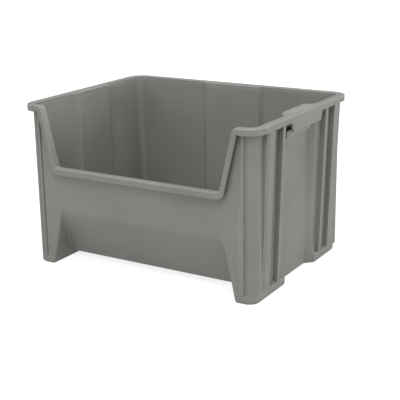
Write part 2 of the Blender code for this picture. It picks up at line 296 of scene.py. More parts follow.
class Station:
    """One upright section of the band: a plan point on the rim's outer face and the way inwards.

    A run is "front", "side", "back" or "corner". Along a straight run, along is the distance from the middle
    of that face. A raised feature is an "upright", a "bead" or a "post", and left is what its rounded edge
    still has to climb at this station.
    """

    def __init__(self, run, along, x, y, way, feature=None, left=0.0):
        self.run = run
        self.along = along
        self.x = x
        self.y = y
        self.way = way
        self.feature = feature
        self.left = left

    def on_foot(self):
        if self.run == "side":
            return self.along > FOOT_NEAR
        if self.run == "back":
            return self.along > LEG_HALF_FLOOR
        return True

    def lowest(self):
        return MID_FOOT if self.run == "side" and not self.on_foot() else FLOOR_UNDERSIDE

    def base(self, z):
        if self.run == "side":
            if LAND[1] < self.along < POST_SIDE_END:
                return min(side_base(self.along, z), upright_inset(z) + SIDE_GROOVE)
            return side_base(self.along, z)
        if self.run == "back":
            return back_base(self.along)
        if self.run == "front":
            return FRONT_INSET if self.along < BEAD[0] else FRONT_GROOVE_INSET
        return POST_INSET

    def raised(self, z):
        if self.feature == "upright":
            return upright_inset(z)
        if self.feature == "bead":
            return mix(POST_INSET, BEAD_INSET, ease((z - FLOOR_TOP) / BEAD_FOOT_BLEND))
        return POST_INSET

    def band(self):
        """Inset of the foot's face under this station."""
        if self.run == "side":
            return POST_INSET + max(0.0, SIDE_STEP_END - self.along)
        return POST_INSET

    def outer(self, z):
        inset = self.base(z)
        if self.feature:
            inset = min(inset, self.raised(z) + self.left)
        if self.on_foot():
            beside_recess = self.run == "side" and self.along < SIDE_STEP_END
            blend = STEP_FOOT_BLEND if beside_recess else FOOT_BLEND
            return mix(self.band(), inset, ease((z - FLOOR_TOP) / blend))
        if self.run == "back":
            return mix(WALL_INSET, inset, ease((z - FLOOR_TOP) / BACK_FOOT_BLEND))
        return inset

    def inner(self, z):
        if self.run == "side":
            return side_base(self.along, z) + WALL - SKIN
        if self.run == "back" and self.along <= BACK_STEP_END:
            return back_base(self.along) + WALL - SKIN
        round_corner = math.asin(min(1.0, abs(self.way[0]))) / (math.pi / 2)
        return mix(RIM_WIDTH, wall_inset(z) + WALL, round_corner) - SKIN

    def at(self, inset, z):
        return (self.x + self.way[0] * inset, self.y + self.way[1] * inset, z)

    def mirrored(self, x_sign, y_sign):
        way = (self.way[0] * x_sign, self.way[1] * y_sign)
        x = self.x * x_sign
        y = self.y * y_sign
        return Station(self.run, self.along, x, y, way, self.feature, self.left)


SPLIT = 0.1 * MM  # two stations stand this far either side of a foot's end
# Stations on a side's slanted step, as shares of it: round its inner bend, and on from there
INNER_BEND_SHARES = (-SIDE_BEND, -0.03, 0.04, SIDE_BEND)
STEP_SHARES = (0.5, 0.9, 0.96)


def side_stations():
    """Rear half of the right side, from its middle to the corner."""
    plain = [0.0, SIDE_MID_HALF * PLAIN_SHARE]
    plain += [mix(SIDE_MID_HALF, SIDE_STEP_END, share) for share in INNER_BEND_SHARES]
    # The foot's end lies inside the inner bend, so the mesh steps back here and folds over itself by 1.3 mm
    plain += [FOOT_NEAR - SPLIT, FOOT_NEAR + SPLIT]
    plain += [mix(SIDE_MID_HALF, SIDE_STEP_END, share) for share in STEP_SHARES]
    places = [(along, None, 0.0) for along in plain]
    places += feature_span("upright", *RIB)
    places += [(mix(RIB[1], LAND[0], 0.5), None, 0.0)]
    places += feature_span("upright", *LAND)
    places += edge_span("post", POST_SIDE_END, True, POST_EDGE_SHARE)
    places += [(mix(POST_SIDE_END, CORNER_Y, share), "post", 0.0) for share in (0.4, 1.0)]
    return [Station("side", y, HALF_X, y, (-1, 0), feature, left) for y, feature, left in places]


POST_STEPS = 13


def arc_station(run, along, angle, feature, left):
    """A station on the rear right corner's arc, its angle measured from +Y to +X."""
    way = (-math.sin(angle), -math.cos(angle))
    x = CORNER_X - way[0] * RIM_RADIUS
    y = CORNER_Y - way[1] * RIM_RADIUS
    return Station(run, along, x, y, way, feature, left)


def face_station(run, along, feature=None, left=0.0):
    """A station on the back face, or beyond the corner's start on its arc, by its X at the wall's face."""
    if along <= CORNER_X:
        return Station(run, along, along, HALF_Y, (0, -1), feature, left)
    angle = math.asin((along - CORNER_X) / (RIM_RADIUS - WALL_INSET))
    return arc_station(run, along, angle, feature, left)


def post_stations(run):
    """A corner post from its edge on the front or back face, round the arc, to the side."""
    edge = [face_station(run, *place) for place in edge_span("post", POST_FACE_END, True, POST_EDGE_SHARE)]
    first = math.asin((POST_FACE_END + EDGE_WIDTH - CORNER_X) / (RIM_RADIUS - WALL_INSET))
    angles = [mix(first, math.pi / 2, step / POST_STEPS) for step in range(1, POST_STEPS)]
    return edge + [arc_station("corner", 0.0, angle, "post", 0.0) for angle in angles]


def back_step_places():
    """Places across the slanted step of the recessed back, dense at its two rounded bends."""
    step = BACK_STEP_END - BACK_MID_HALF
    bend = [-BACK_BEND, -BACK_BEND / 3, BACK_BEND / 3, BACK_BEND]
    return [BACK_MID_HALF + step * (start + share) for start in (0, 1) for share in bend]


def band_stations():
    """All stations from the front right end, round the right side, to the middle of the back."""
    front = [face_station("front", PANEL_END)]
    front += [face_station("front", *place) for place in feature_span("bead", *BEAD)]
    front += post_stations("front")
    front = [station.mirrored(1, -1) for station in front]
    side = side_stations()
    side_front = [station.mirrored(1, -1) for station in reversed(side[1:])]
    places = [0.0, BACK_MID_HALF * PLAIN_SHARE] + back_step_places()
    places += [mix(BACK_STEP_END, LEG_HALF_FLOOR, 0.5), LEG_HALF_FLOOR - SPLIT, LEG_HALF_FLOOR + SPLIT]
    places += [mix(LEG_HALF_FLOOR, POST_FACE_END, 0.5)]
    rear = [face_station("back", place) for place in places] + post_stations("back")
    return front + side_front + side + rear[::-1]


# A wall's rows, from its lower edge up, in mm: (height, cut-back of the outer face, of the inner face).
# A wall beside the floor hangs down with a rounded edge. One over a foot reaches into it as a thin tongue.
HANGING_ROWS = [(0.0, 1.3, 1.3), (0.35, 0.4, 0.4), (1.2, 0.0, 0.0)]
TONGUE_ROWS = [(1.5, 2.0, 0.8), (2.5, 2.0, 0.8), (3.5, 2.0, 0.8)]
# (height over the floor, width of the inner fillet)
FILLET_ROWS = [(0.0, 2.4), (0.6, 1.1), (1.6, 0.3), (2.8, 0.0), (5.0, 0.0)]
# Heights over the ground, dense where the wall eases out to the feet, and then round the uprights' tops
UPPER_ROWS = [height * MM for height in (24, 29, 37, 60, 110, 160, 210, 260)]
UPPER_ROWS += [UPRIGHT_TOP + rise * MM for rise in (-3, 0, 3)] + [RIM_TOP - RIM_PLATE / 2]
WALL_ROWS = len(HANGING_ROWS) + len(FILLET_ROWS) + len(UPPER_ROWS)


def wall_row(row, on_foot, lowest=FLOOR_UNDERSIDE):
    """(height, outer cut-back, inner cut-back, inner fillet) of one row of a wall."""
    low = TONGUE_ROWS if on_foot else HANGING_ROWS
    if row < len(low):
        rise, outer_cut, inner_cut = low[row]
        return lowest + rise * MM, outer_cut * MM, inner_cut * MM, 0.0
    row -= len(low)
    if row < len(FILLET_ROWS):
        rise, fillet = FILLET_ROWS[row]
        return FLOOR_TOP + rise * MM, 0.0, 0.0, 0.0 if on_foot else fillet * MM
    return UPPER_ROWS[row - len(FILLET_ROWS)], 0.0, 0.0, 0.0


def band_points():
    """(number of columns, outer point, inner point) of the band all round the bin."""
    right = band_stations()
    left = [station.mirrored(-1, 1) for station in reversed(right[:-1])]
    stations = right + left

    def outer(i, j):
        station = stations[i]
        z, cut, _, _ = wall_row(j, station.on_foot(), station.lowest())
        return station.at(station.outer(max(z, FLOOR_TOP)) + cut, z)

    def inner(i, j):
        station = stations[i]
        z, _, cut, fillet = wall_row(j, station.on_foot(), station.lowest())
        return station.at(station.inner(max(z, FLOOR_TOP)) - cut + fillet, z)

    return len(stations), outer, inner


def add_walls(material):
    columns, outer, inner = band_points()
    form = shell(columns, WALL_ROWS, outer, inner)
    features = ("corner_post", "side_wall", "side_land", "side_rib", "back_wall", "front_bead")
    nodes = [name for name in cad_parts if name.startswith(features)]
    return add_piece(form, "moulded_walls", material, nodes)


# Front panel: flat above, with the toe space pushed in between the two legs


def leg_x(z):
    """Half width of the toe space at one height."""
    return LEG_HALF_GROUND - (LEG_HALF_GROUND - KICK_HALF_TOP) * z / KICK_TOP


KICK_SLOPE = (KICK_SETBACK - FRONT_INSET) / (KICK_TOP - FLOOR_UNDERSIDE)
CREASE = 5 * MM           # softness of the bend at the kick's top
LEG_FILLET = 5 * MM       # between the front face and the leg's side
KICK_FILLET = 3.5 * MM    # between the leg's side and the kick
FILLET_SHARES = (0.5, 0.45)        # the most of the leg side's depth that each of the two may take
NARROWEST_FILLET = 2.5 * MM
SIDE_LEAN = (0.06 * MM, 1.6 * MM)  # how far a leg's side leans inwards, at the floor and at the kick's top


def kick_depth(z):
    """How far the kick lies behind the front face, with a soft crease at its top."""
    below = KICK_TOP - z
    return KICK_SLOPE * (below + math.hypot(below, CREASE)) / 2


FILLET_STEPS = 6
LEG_SIDE_STEPS = 2
FLAT_COLUMNS = 5
KICK_COLUMNS = 7


def leg_profile(z):
    """Plan points (x, depth) from the end of the panel round the leg's edge to the middle of the kick."""
    depth = kick_depth(z)
    edge = leg_x(z)
    lean = mix(*SIDE_LEAN, ease((z - FLOOR_TOP) / (KICK_TOP - FLOOR_TOP)))
    leg_round = min(LEG_FILLET, depth * FILLET_SHARES[0])
    kick_round = min(KICK_FILLET, depth * FILLET_SHARES[1])
    leg_wide = max(leg_round, NARROWEST_FILLET)
    kick_wide = max(kick_round, NARROWEST_FILLET)
    points = []
    start = edge + leg_wide
    for step in range(FLAT_COLUMNS):
        points.append((mix(PANEL_END, start, step / FLAT_COLUMNS), 0.0))
    for step in range(FILLET_STEPS + 1):
        turn = math.pi / 2 * step / FILLET_STEPS
        points.append((start - leg_wide * math.sin(turn), leg_round * (1 - math.cos(turn))))
    for step in range(1, LEG_SIDE_STEPS):
        share = step / LEG_SIDE_STEPS
        points.append((edge - lean * share, mix(leg_round, depth - kick_round, share)))
    foot_of_side = edge - lean
    for step in range(FILLET_STEPS + 1):
        turn = math.pi / 2 * step / FILLET_STEPS
        x = foot_of_side - kick_wide * (1 - math.cos(turn))
        points.append((x, depth - kick_round * (1 - math.sin(turn))))
    last = foot_of_side - kick_wide
    for step in range(1, KICK_COLUMNS + 1):
        points.append((mix(last, 0.0, step / KICK_COLUMNS), depth))
    return points


SIDE_COLUMNS = len(leg_profile(KICK_TOP))
LEG_SIDE_COLUMNS = FLAT_COLUMNS + FILLET_STEPS + LEG_SIDE_STEPS  # columns that stand on the foot
CUT_COLUMN = LEG_SIDE_COLUMNS + FILLET_STEPS                     # column at the lower corner of the cut
# Rows of the panel over the fillet, in mm, dense at the kick's top
KICK_ROWS = (24, 34, 46, 58, 70, 80, 88, 94, 99, 103, 106, 109, 112, 115, 119, 124, 131, 140, 155, 172)
PANEL_HIDDEN = 2 * MM      # how deep the panel's edge lies under the face of the hopper's frame
PANEL_EDGE = SILL_TOP - PANEL_HIDDEN
PANEL_FOOT_BLEND = 25 * MM
STEADY_BELOW = FLOOR_TOP + 0.5 * MM  # under this height the panel's inward direction stays the same
COLUMNS_TURN = KICK_TOP + 20 * MM  # over this height the columns spread out towards the cut
FLANK_STEPS = 5
PANEL_LOW = len(HANGING_ROWS) + len(FILLET_ROWS) + len(KICK_ROWS)
PANEL_ROWS = PANEL_LOW + 1 + FLANK_STEPS


def cut_x(z):
    """The panel's hidden edge beside the hopper's cut."""
    run = (CUT_HALF_TOP - CUT_HALF_SILL) / (RIM_TOP - SILL_TOP)
    return CUT_HALF_SILL + (z - SILL_TOP) * run + PANEL_HIDDEN * math.hypot(1, run)


def panel_row(row, on_foot):
    """(height, outer cut-back, inner cut-back, inner fillet) of one row of the panel."""
    if row < len(HANGING_ROWS) + len(FILLET_ROWS):
        return wall_row(row, on_foot)
    row -= len(HANGING_ROWS) + len(FILLET_ROWS)
    if row < len(KICK_ROWS):
        return KICK_ROWS[row] * MM, 0.0, 0.0, 0.0
    share = (row - len(KICK_ROWS)) / FLANK_STEPS
    return mix(PANEL_EDGE, RIM_TOP - PANEL_HIDDEN, share), 0.0, 0.0, 0.0


def spread_x(column):
    """Columns spread evenly between the panel's end and the cut's corner, then on to the middle."""
    corner = cut_x(PANEL_EDGE)
    if column <= CUT_COLUMN:
        return mix(PANEL_END, corner, column / CUT_COLUMN)
    return mix(corner, 0.0, (column - CUT_COLUMN) / (SIDE_COLUMNS - 1 - CUT_COLUMN))


def panel_surface(column, z):
    """A point of the panel's outer face on the right half."""
    x, depth = leg_profile(z)[column]
    if z > COLUMNS_TURN:
        towards = ease((z - COLUMNS_TURN) / (PANEL_EDGE - COLUMNS_TURN))
        x = mix(x, spread_x(column), towards)
    if z > PANEL_EDGE:
        narrowing = (PANEL_END - cut_x(z)) / (PANEL_END - cut_x(PANEL_EDGE))
        x = PANEL_END - (PANEL_END - spread_x(column)) * narrowing
    band = mix(POST_INSET - FRONT_INSET, 0.0, ease((z - FLOOR_TOP) / PANEL_FOOT_BLEND))
    on_front = 1 - ease(depth / (LEG_FILLET * 2))
    return Vector((x, -HALF_Y + FRONT_INSET + depth + band * on_front, z))


def panel_inwards(column, z):
    """The panel's own inward direction at one point, square to its face."""
    before = panel_surface(max(column - 1, 0), z)
    after = panel_surface(min(column + 1, SIDE_COLUMNS - 1), z)
    up = panel_surface(column, z + MM) - panel_surface(column, z - MM)
    normal = up.cross(after - before)
    return normal.normalized() if normal.y > 0 else -normal.normalized()


def panel_point(i, j, is_inner):
    """Grid columns run from the right end of the panel to its left end."""
    column = i if i < SIDE_COLUMNS else 2 * (SIDE_COLUMNS - 1) - i
    sign = 1 if i < SIDE_COLUMNS else -1
    on_foot = column < LEG_SIDE_COLUMNS
    z, outer_cut, inner_cut, fillet = panel_row(j, on_foot)
    seen_z = max(z, FLOOR_TOP) if on_foot else z
    point = panel_surface(column, seen_z)
    depth = WALL - SKIN - inner_cut + fillet if is_inner else outer_cut
    inwards = panel_inwards(column, max(seen_z, STEADY_BELOW))
    if column == 0:
        inwards = Vector((0, 1, 0))
    point = point + inwards * depth
    point.z = z
    if column == SIDE_COLUMNS - 1:
        point.x = 0.0
    return Vector((point.x * sign, point.y, point.z))


def add_front_panel(material):
    columns = 2 * SIDE_COLUMNS - 1

    def keep(i, j):
        """Above the sill only the flanks beside the cut remain."""
        return j < PANEL_LOW or i < CUT_COLUMN or i >= columns - 1 - CUT_COLUMN

    def outer(i, j):
        return panel_point(i, j, False)

    def inner(i, j):
        return panel_point(i, j, True)

    form = shell(columns, PANEL_ROWS, outer, inner, keep)
    nodes = ["front_wall", "kick_panel", "leg_side_left", "leg_side_right"]
    return add_piece(form, "moulded_front", material, nodes)


# Rim: plate, skirt, grips' flaps and the hopper's frame, one section carried all the way round


OUTER_ROUND = 2 * MM      # the plate's outer edge
INNER_ROUND = 1.5 * MM    # the plate's inner edge, and the root of the skirt
SKIRT_ROUND = 0.9 * MM    # the skirt's lower edges
HIDDEN_ROUND = 0.1 * MM   # a corner that lies against a wall
SECTION_STEPS = 4


def rim_section(width, drop, thickness):
    """(depth below the top, inset) round the plate and its skirt."""
    corners = [
        (0, 0, OUTER_ROUND),
        (0, width, INNER_ROUND),
        (RIM_PLATE, width, HIDDEN_ROUND),
        (RIM_PLATE, thickness, INNER_ROUND),
        (drop, thickness, SKIRT_ROUND),
        (drop, 0, SKIRT_ROUND),
    ]
    return rounded_outline(corners, SECTION_STEPS)


LIP_RADIUS = 9 * MM    # the hopper cut's upper corners
SILL_RADIUS = 6 * MM   # its lower corners
TIGHTEST = 1.5 * MM    # the least radius of the section's inner lines round a corner
FLANGE_DROP = 10 * MM  # the flanges' skirt is narrower than the rim's
CUT_STEPS = 8


def cut_corner(place, before, after, radius, share, depth):
    """A point of the hopper's edge line at a rounded corner, moved a depth into the material."""
    before = Vector(before).normalized()
    after = Vector(after).normalized()
    normals = [Vector((way.y, -way.x)) for way in (before, after)]
    mitre = (normals[0] + normals[1]) / (1 + normals[0].dot(normals[1]))
    corner = Vector(place) + mitre * depth
    turns_to_material = before.cross(after) < 0
    bend = max(radius - depth, TIGHTEST) if turns_to_material else radius + depth
    half = (math.pi - before.angle(after)) / 2
    middle = (after - before).normalized()
    centre = corner + middle * (bend / math.sin(half))
    start = corner - before * (bend / math.tan(half)) - centre
    turn = before.angle(after) * (-1 if turns_to_material else 1)
    return centre + Matrix.Rotation(turn * share, 2) @ start


def hopper_rings():
    """Sections from the sill's middle, up the right flange, to the lip beside the front right corner."""
    section = rim_section(RIM_WIDTH, SKIRT_DROP, SKIRT_THICKNESS)
    narrow = rim_section(RIM_WIDTH, FLANGE_DROP, SKIRT_THICKNESS)
    sill = (CUT_HALF_SILL, SILL_TOP)
    lip = (CUT_HALF_TOP, RIM_TOP)
    flange = (lip[0] - sill[0], lip[1] - sill[1])
    rings = []
    for x in (0.0, CUT_HALF_SILL / 2):
        rings.append([(x, -HALF_Y + inset, SILL_TOP - depth) for depth, inset in section])
    corners = [(sill, (1, 0), flange, SILL_RADIUS, section, narrow),
               (lip, flange, (1, 0), LIP_RADIUS, narrow, section)]
    for place, before, after, radius, first, last in corners:
        for step in range(CUT_STEPS + 1):
            share = step / CUT_STEPS
            ring = []
            for (depth, inset), (last_depth, _) in zip(first, last):
                x, z = cut_corner(place, before, after, radius, share, mix(depth, last_depth, share))
                ring.append((x, -HALF_Y + inset, z))
            rings.append(ring)
    return rings


def rim_ring(x, y, way, width, drop, thickness):
    """The rim's section at a point of its outer face, with the way inwards."""
    section = rim_section(width, drop, thickness)
    return [(x + way[0] * inset, y + way[1] * inset, RIM_TOP - depth) for depth, inset in section]


RIM_CORNER_STEPS = 18


def rim_corner_rings(y_sign):
    """Round a right-hand corner, from the front or back face to the side."""
    rings = []
    for step in range(RIM_CORNER_STEPS + 1):
        angle = math.pi / 2 * step / RIM_CORNER_STEPS
        way = (-math.sin(angle), -math.cos(angle) * y_sign)
        x = CORNER_X - way[0] * RIM_RADIUS
        y = CORNER_Y * y_sign - way[1] * RIM_RADIUS
        rings.append(rim_ring(x, y, way, RIM_WIDTH, SKIRT_DROP, SKIRT_THICKNESS))
    return rings


FLAP_TOP_HALF = 64.2 * MM  # where a flap's slanted end meets the skirt's lower edge
FLAP_BOTTOM_HALF = 58 * MM
FLAP_BEND = 0.16           # rounding of the slanted end's two bends, as a share of its run


def grip_ring(y):
    """The rim's section along a side: wider plate and deeper skirt at the grip."""
    along = abs(y)
    on_flap = 1 - soft_ramp((along - FLAP_BOTTOM_HALF) / (FLAP_TOP_HALF - FLAP_BOTTOM_HALF), FLAP_BEND)
    on_plate = 1 - soft_ramp((along - SIDE_MID_HALF) / (SIDE_STEP_END - SIDE_MID_HALF), SIDE_BEND)
    width = mix(RIM_WIDTH, MID_INSET + WALL, on_plate)
    drop = mix(SKIRT_DROP, RIM_TOP - FLAP_BOTTOM, on_flap)
    thickness = mix(SKIRT_THICKNESS, WALL, on_flap)
    return rim_ring(HALF_X, y, (-1, 0), width, drop, thickness)


def bend_places(near, far, bend, between):
    """Places across a slanted run, dense at its two rounded bends, with one more between them."""
    shares = [start + bend * step / 3 for start in (0, 1) for step in range(-3, 4)]
    return [near + (far - near) * share for share in shares + [between]]


def grip_places():
    """Places along a side, from its front end to its rear end."""
    places = [SIDE_MID_HALF * PLAIN_SHARE]
    places += [mix(SIDE_STEP_END, CORNER_Y, share) for share in (0.09, 0.5)]
    places += bend_places(SIDE_MID_HALF, SIDE_STEP_END, SIDE_BEND, 0.35)
    places += bend_places(FLAP_BOTTOM_HALF, FLAP_TOP_HALF, FLAP_BEND, 0.5)
    places.sort()
    return [-y for y in reversed(places)] + [0.0] + places


def back_rim_rings():
    """The rear rim from the right towards its middle, where the plate widens over the recessed wall."""
    places = [0.0, BACK_MID_HALF / 2] + back_step_places() + [mix(BACK_STEP_END, CORNER_X, 0.5)]
    rings = []
    for x in reversed(places):
        over_recess = 1 - soft_ramp((x - BACK_MID_HALF) / (BACK_STEP_END - BACK_MID_HALF), BACK_BEND)
        width = mix(RIM_WIDTH, BACK_MID_INSET + WALL, over_recess)
        rings.append(rim_ring(x, HALF_Y, (0, -1), width, SKIRT_DROP, SKIRT_THICKNESS))
    return rings


def add_rim(material):
    right = hopper_rings() + rim_corner_rings(-1)
    right += [grip_ring(y) for y in grip_places()]
    right += rim_corner_rings(1)[::-1]
    right += back_rim_rings()
    left = [[(-x, y, z) for x, y, z in ring] for ring in right[1:-1]]
    form = loft(right + left[::-1], True)
    nodes = [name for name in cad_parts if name.startswith(("rim_", "hopper_"))]
    nodes += ["grip_left", "grip_right"]
    return add_piece(form, "moulded_rim", material, nodes)


# Floor pan and feet


PAN_IN_PANEL = 1.5 * MM  # how far the floor pan's edge reaches into the kick and the legs' sides
PAN_IN_WALL = 2 * MM     # and into the walls and the feet's ends


def add_floor_pan(material):
    front = -HALF_Y + KICK_SETBACK + PAN_IN_PANEL
    side = LEG_HALF_FLOOR + PAN_IN_PANEL
    lobe = HALF_X - MID_INSET - PAN_IN_WALL
    half = FOOT_NEAR + PAN_IN_WALL
    back = HALF_Y - WALL_INSET - PAN_IN_WALL
    right = [(side, front), (side, -half), (lobe, -half), (lobe, half), (side, half), (side, back)]
    outline = right + [(-x, y) for x, y in reversed(right)]
    rings = [[(x, y, z) for x, y in outline] for z in (FLOOR_UNDERSIDE + SKIN, FLOOR_TOP - SKIN)]
    return add_piece(loft(rings, False), "moulded_floor", material, ["floor_pan"])


FOOT_WALL = 13 * MM
REAR_SETBACK = 11 * MM
FOOT_CORNER = 3 * MM       # plan radii: the foot's inner corner, and the least radius of its outer one
LEG_CORNER = 2 * MM        # least radius beside the leg's side
STEP_CORNER = 1.5 * MM     # beside the recess
CORNER_STEPS = 10
SLANT_SHARE = 0.4          # share of a margin by which the corners beside the recess move along the side
END_ROUND = 6 * MM         # rounding of the sole's edge at the foot's end, beside the recess
SHELF_ROUND = 1.5 * MM     # between a rear foot's back and the shelf under the back wall
TRAY_EDGE = 0.6 * MM       # chamfer of the tray's upper edge
# In mm: the sole's edge as (height, drawing-in), the shelf's outer edge as (rise, setback left), and the bend
# between the tray's wall and its bottom as (inwards, up)
SOLE_ROUND = [(0.0, 2.8), (0.25, 1.7), (0.9, 0.9), (2.0, 0.3), (3.6, 0.0)]
SHELF_EDGE = [(0.1, 0.8), (0.9, 0.0)]
TRAY_ROUND = [(0.0, 3.0), (0.8, 0.8), (3.0, 0.0)]


def foot_ring(margin, z, setback):
    """Plan of the rear right foot, drawn in by a margin all round and by a setback from the back."""
    inner_x = leg_x(z) + margin
    outer_x = HALF_X - POST_INSET - margin
    outer_y = HALF_Y - POST_INSET - margin - setback
    below_round = max(0.0, END_ROUND - z)
    end_cut = END_ROUND - math.sqrt(END_ROUND ** 2 - below_round ** 2)
    near = FOOT_NEAR + margin + end_cut
    slant = margin * SLANT_SHARE
    corners = [
        (inner_x, near, FOOT_CORNER),
        (inner_x, outer_y, max(LEG_FILLET - margin, LEG_CORNER)),
        (outer_x, outer_y, max(RIM_RADIUS - POST_INSET - margin, FOOT_CORNER)),
        (outer_x, SIDE_STEP_END + slant + end_cut, STEP_CORNER),
        (HALF_X - MID_INSET - slant, near, STEP_CORNER),
    ]
    return [(x, y, z) for x, y in rounded_outline(corners, CORNER_STEPS)]


def foot_rings(setback):
    """Up the outside from the sole, over the top, and down the inside to the tray's bottom."""
    rings = [foot_ring(margin * MM, rise * MM, setback) for rise, margin in SOLE_ROUND]
    rings.append(foot_ring(0.0, END_ROUND, setback))
    if setback:
        shelf = [(FLOOR_UNDERSIDE - SHELF_ROUND, setback), (FLOOR_UNDERSIDE, setback - SHELF_ROUND)]
        shelf += [(FLOOR_UNDERSIDE + rise * MM, left * MM) for rise, left in SHELF_EDGE]
        rings += [foot_ring(0.0, z, left) for z, left in shelf]
    rings.append(foot_ring(0.0, FLOOR_TOP, 0.0))
    tray = [(FOOT_WALL - TRAY_EDGE, FLOOR_TOP), (FOOT_WALL, FLOOR_TOP - TRAY_EDGE)]
    tray += [(FOOT_WALL + inwards * MM, WALL + up * MM) for inwards, up in TRAY_ROUND]
    return rings + [foot_ring(margin, z, setback) for margin, z in tray]


def add_feet(material):
    for side, x_sign in (("left", -1), ("right", 1)):
        for end, y_sign, setback in (("front", -1, 0.0), ("rear", 1, REAR_SETBACK)):
            rings = [[(x * x_sign, y * y_sign, z) for x, y, z in ring] for ring in foot_rings(setback)]
            name = f"moulded_foot_{end}_{side}"
            add_piece(loft(rings, False), name, material, [f"foot_{end}_{side}"])


# Stacking pads and grip ledges


PAD_CORNER = 2.5 * MM
PAD_CORNER_STEPS = 5
PAD_ROUND = 1 * MM
PAD_EDGE = [(1.0, 0.0), (0.45, 0.15), (0.12, 0.45), (0.0, 1.0)]  # (down, inwards), as shares of PAD_ROUND


def pad_rings(low, high):
    """A low pad with a rounded top edge, lofted up from inside the plate."""
    levels = [(RIM_TOP - RIM_PLATE / 2, 0.0)]
    levels += [(high.z - PAD_ROUND * down, PAD_ROUND * inwards) for down, inwards in PAD_EDGE]
    rings = []
    for z, margin in levels:
        left, right = low.x + margin, high.x - margin
        near, far = low.y + margin, high.y - margin
        corners = [(left, near), (right, near), (right, far), (left, far)]
        outline = rounded_outline([(x, y, PAD_CORNER - margin) for x, y in corners], PAD_CORNER_STEPS)
        rings.append([(x, y, z) for x, y in outline])
    return rings


def add_pads(material):
    for side in ("left", "right"):
        form = loft(pad_rings(*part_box(f"stacking_pad_{side}")), False)
        add_piece(form, f"moulded_pad_{side}", material, [f"stacking_pad_{side}"])


LEDGE_ROOT = 1 * MM                      # how far a ledge starts inside the recessed wall
LEDGE_SLOPE = (1.5 * MM, 0.5 * MM)       # its underside: below the CAD's at the wall, above it at the edge
LEDGE_ROUNDS = (0.7 * MM, 0.9 * MM)      # its lower and its upper edge
LEDGE_ENDS = [(0.0, 2.0), (0.4, 0.6), (1.5, 0.0)]  # its rounded ends, in mm: (along, drawn in)


def ledge_rings(low, high):
    """A ledge on the right-hand recessed wall, from its front end to its rear end."""
    wall_face = HALF_X - MID_INSET - LEDGE_ROOT
    section = rounded_outline([
        (wall_face, low.z - LEDGE_SLOPE[0], HIDDEN_ROUND),
        (high.x, low.z + LEDGE_SLOPE[1], LEDGE_ROUNDS[0]),
        (high.x, high.z, LEDGE_ROUNDS[1]),
        (wall_face, high.z, HIDDEN_ROUND),
    ], SECTION_STEPS)
    ends = [(low.y + along * MM, cut * MM) for along, cut in LEDGE_ENDS]
    ends += [(high.y - along * MM, cut * MM) for along, cut in reversed(LEDGE_ENDS)]
    return [[(min(x, high.x - cut), y, z) for x, z in section] for y, cut in ends]


def add_ledges(material):
    """Small ledges on the recessed walls, below the grips' flaps."""
    right = ledge_rings(*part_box("grip_ledge_right"))
    for side, sign in (("left", -1), ("right", 1)):
        rings = [[(x * sign, y, z) for x, y, z in ring] for ring in right]
        name = f"moulded_ledge_{side}"
        add_piece(loft(rings, False), name, material, [f"grip_ledge_{side}"])


# Materials


def link(tree, a, b):
    tree.links.new(a, b)


def add_node(tree, kind, **settings):
    node = tree.nodes.new(kind)
    for name, value in settings.items():
        setattr(node, name, value)
    return node


def set_inputs(node, values):
    for name, value in values.items():
        node.inputs[name].default_value = value


def feed(tree, value, socket):
    """Set a socket to a constant, or link another node's output to it."""
    if isinstance(value, bpy.types.NodeSocket):
        link(tree, value, socket)
    else:
        socket.default_value = value


def noise(tree, position, scale, detail, roughness):
    """Noise in the object's own coordinates."""
    node = add_node(tree, "ShaderNodeTexNoise")
    set_inputs(node, {"Scale": scale, "Detail": detail, "Roughness": roughness})
    link(tree, position, node.inputs["Vector"])
    return node.outputs["Fac"]


def ramp(tree, value, low, high, at_low, at_high):
    """Carry values between low and high over to at_low and at_high, held level beyond them."""
    node = add_node(tree, "ShaderNodeMapRange", clamp=True)
    set_inputs(node, {"From Min": low, "From Max": high, "To Min": at_low, "To Max": at_high})
    link(tree, value, node.inputs["Value"])
    return node.outputs["Result"]


def math_node(tree, operation, a, b):
    node = add_node(tree, "ShaderNodeMath", operation=operation)
    feed(tree, a, node.inputs[0])
    feed(tree, b, node.inputs[1])
    return node.outputs[0]


MIX_INPUTS = (6, 7)  # the mix node's two colour inputs, and its colour output
MIX_OUTPUT = 2


def mix_colour(tree, factor, a, b):
    node = add_node(tree, "ShaderNodeMix", data_type="RGBA")
    link(tree, factor, node.inputs["Factor"])
    feed(tree, a, node.inputs[MIX_INPUTS[0]])
    feed(tree, b, node.inputs[MIX_INPUTS[1]])
    return node.outputs[MIX_OUTPUT]


def shade(colour, factor):
    return tuple(c * factor for c in colour) + (1.0,)


def camera_share(tree, share):
    """1 for rays from the camera, and a smaller share for all other rays."""
    seen = add_node(tree, "ShaderNodeLightPath").outputs["Is Camera Ray"]
    return ramp(tree, seen, 0.0, 1.0, share, 1.0)


# Noise patterns of the plastic: (scale, detail, roughness)
CLOUDS = (9.0, 3.0, 0.5)     # broad flow clouds from moulding
MOTTLE = (60.0, 4.0, 0.6)    # patches in which dirt and the lighter edges (wear and painted highlight) gather
GRAIN = (900.0, 2.0, 0.5)    # the mould's fine grain
NOISE_BAND = (0.35, 0.65)    # most of a noise's values lie between these
